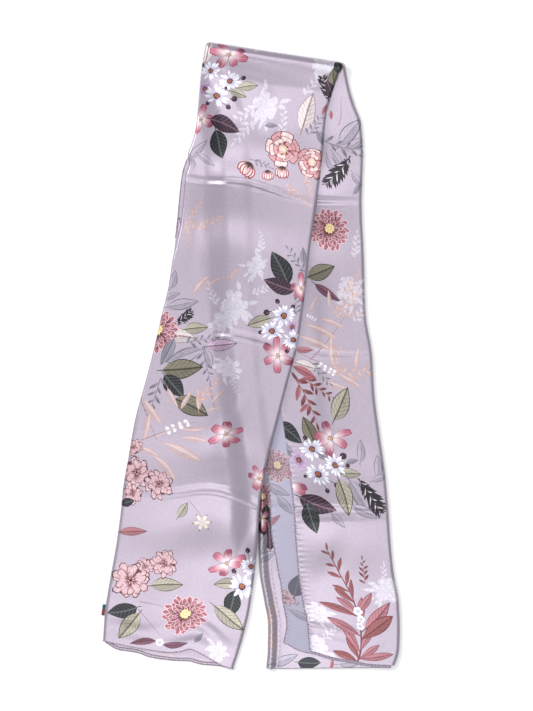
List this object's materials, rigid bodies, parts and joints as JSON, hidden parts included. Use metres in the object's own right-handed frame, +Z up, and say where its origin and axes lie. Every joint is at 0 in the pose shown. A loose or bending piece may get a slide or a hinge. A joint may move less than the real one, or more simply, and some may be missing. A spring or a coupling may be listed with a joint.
{
  "type": "folded silk satin scarf",
  "caption": "Printed silk satin scarf folded lengthwise, folded in half across a soft rounded turn and laid flat, its two halves parting towards the open ends.",
  "frame": {"origin": "middle of the plan, on the surface that the scarf lies on", "axes": "+Y along the scarf towards the rounded turn, +X to the right with the upper half on top, +Z up"},
  "size_m": [0.4328, 0.9086, 0.0181],
  "materials": {
    "printed_satin": "mauve-grey silk satin with a floral print, soft sheen along the cloth",
    "satin_reverse": "matt reverse of the satin, bluish grey, the print showing faintly",
    "rolled_hem": "narrow rolled hem, hand stitched in matching thread",
    "woven_label": "small woven label, teal and red, plain"
  },
  "bodies": {
    "root": {"over_face": "printed_satin", "over_core": "printed_satin", "under_face": "printed_satin", "under_inner": "satin_reverse", "under_base": "printed_satin", "label_tab": "woven_label", "hem_over_end_low": "rolled_hem", "hem_over_end_mid": "rolled_hem", "hem_over_end_top": "rolled_hem", "hem_over_side": "rolled_hem", "hem_under_side_1": "rolled_hem", "hem_under_side_2": "rolled_hem", "hem_under_end_1": "rolled_hem", "hem_under_end_2": "rolled_hem", "hem_under_end_low": "rolled_hem"}
  },
  "joints": []
}
